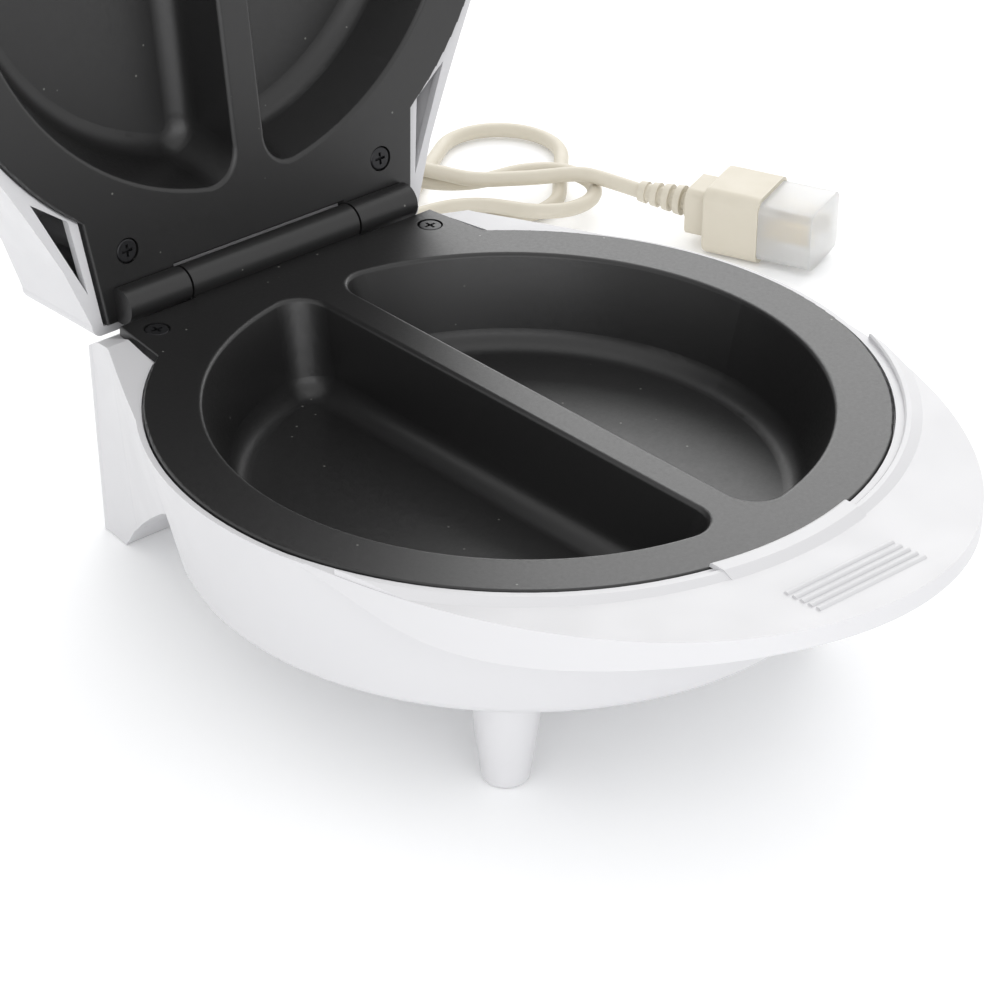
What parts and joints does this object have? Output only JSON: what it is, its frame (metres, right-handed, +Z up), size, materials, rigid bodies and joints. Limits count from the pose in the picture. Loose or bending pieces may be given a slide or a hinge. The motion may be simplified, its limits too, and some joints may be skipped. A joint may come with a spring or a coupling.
{
  "type": "two-well omelette maker",
  "caption": "Electric omelette maker with a hinged lid, half-moon wells in cast plates, a white moulded casing on legs and a folded mains lead.",
  "frame": {"origin": "centre of the appliance's bounding box, lid open, without the free lead, at table level", "axes": "+Z up, +Y towards the hinge and the back, +X to the right seen from the handle"},
  "size_m": [0.3357, 0.3861, 0.2927],
  "materials": {
    "white_plastic": "moulded, satin to semi-gloss",
    "nonstick_coat": "satin black non-stick coat on cast aluminium",
    "screw_steel": "plated",
    "element_sheath": "dull steel tube",
    "ceramic_steel": "ceramic bead with steel tab",
    "pressed_steel": "pressed zinc-plated sheet",
    "shield_aluminium": "bright sheet",
    "thermostat_case": "pressed case",
    "fuse_case": "tinned",
    "glass_fibre_sleeve": "braided sleeve",
    "terminal_plastic": "moulded",
    "wire_insulation": "heat-proof insulation",
    "gland_rubber": "flexible moulding",
    "cord_sheath": "smooth cream sheath",
    "tie_plastic": "paper-covered wire band",
    "plug_cream": "moulded, fine texture",
    "plug_pin_brass": "nickel-plated",
    "clear_cap": "clear moulded plastic cap",
    "red_lens": "translucent lens",
    "green_lens": "translucent lens",
    "neon_glass": "small glass lamp"
  },
  "bodies": {
    "base": {"lower_housing": "white_plastic", "lower_plate": "nonstick_coat", "lower_plate_screws": "screw_steel", "hinge_pin": "screw_steel", "lower_heating_element": "element_sheath", "lower_element_terminals": "ceramic_steel", "lower_element_clamp": "pressed_steel", "lower_clamp_screws": "screw_steel", "lower_heat_shield": "shield_aluminium", "lower_shield_screws": "screw_steel", "thermostat": "thermostat_case", "thermostat_bracket": "pressed_steel", "thermal_fuse": "fuse_case", "thermal_fuse_sleeve": "glass_fibre_sleeve", "terminal_block": "terminal_plastic", "terminal_screws": "screw_steel", "lower_wiring": "wire_insulation", "cord_gland": "gland_rubber", "cord_clamp": "terminal_plastic", "cord_clamp_screws": "screw_steel", "cord_inner_end": "cord_sheath", "power_cord_lead": "cord_sheath", "power_cord_hank": "cord_sheath", "power_cord_loop": "cord_sheath", "power_cord_tail": "cord_sheath", "cord_tie": "tie_plastic", "plug_body": "plug_cream", "plug_pins": "plug_pin_brass", "plug_pin_cap": "clear_cap"},
    "lid": {"upper_housing": "white_plastic", "upper_plate": "nonstick_coat", "upper_plate_screws": "screw_steel", "upper_heating_element": "element_sheath", "upper_element_terminals": "ceramic_steel", "upper_element_clamp": "pressed_steel", "upper_clamp_screws": "screw_steel", "upper_heat_shield": "shield_aluminium", "upper_shield_screws": "screw_steel", "power_lamp_lens": "red_lens", "ready_lamp_lens": "green_lens", "power_neon_lamp": "neon_glass", "ready_neon_lamp": "neon_glass", "lamp_holder": "terminal_plastic", "upper_wiring": "wire_insulation"}
  },
  "joints": [
    {"name": "lid_hinge", "type": "hinge", "parent": "base", "child": "lid", "pos_m": [0, 0.08843, 0.0723], "axis": [1, 0, 0], "range_deg": [0, 98.3]}
  ]
}
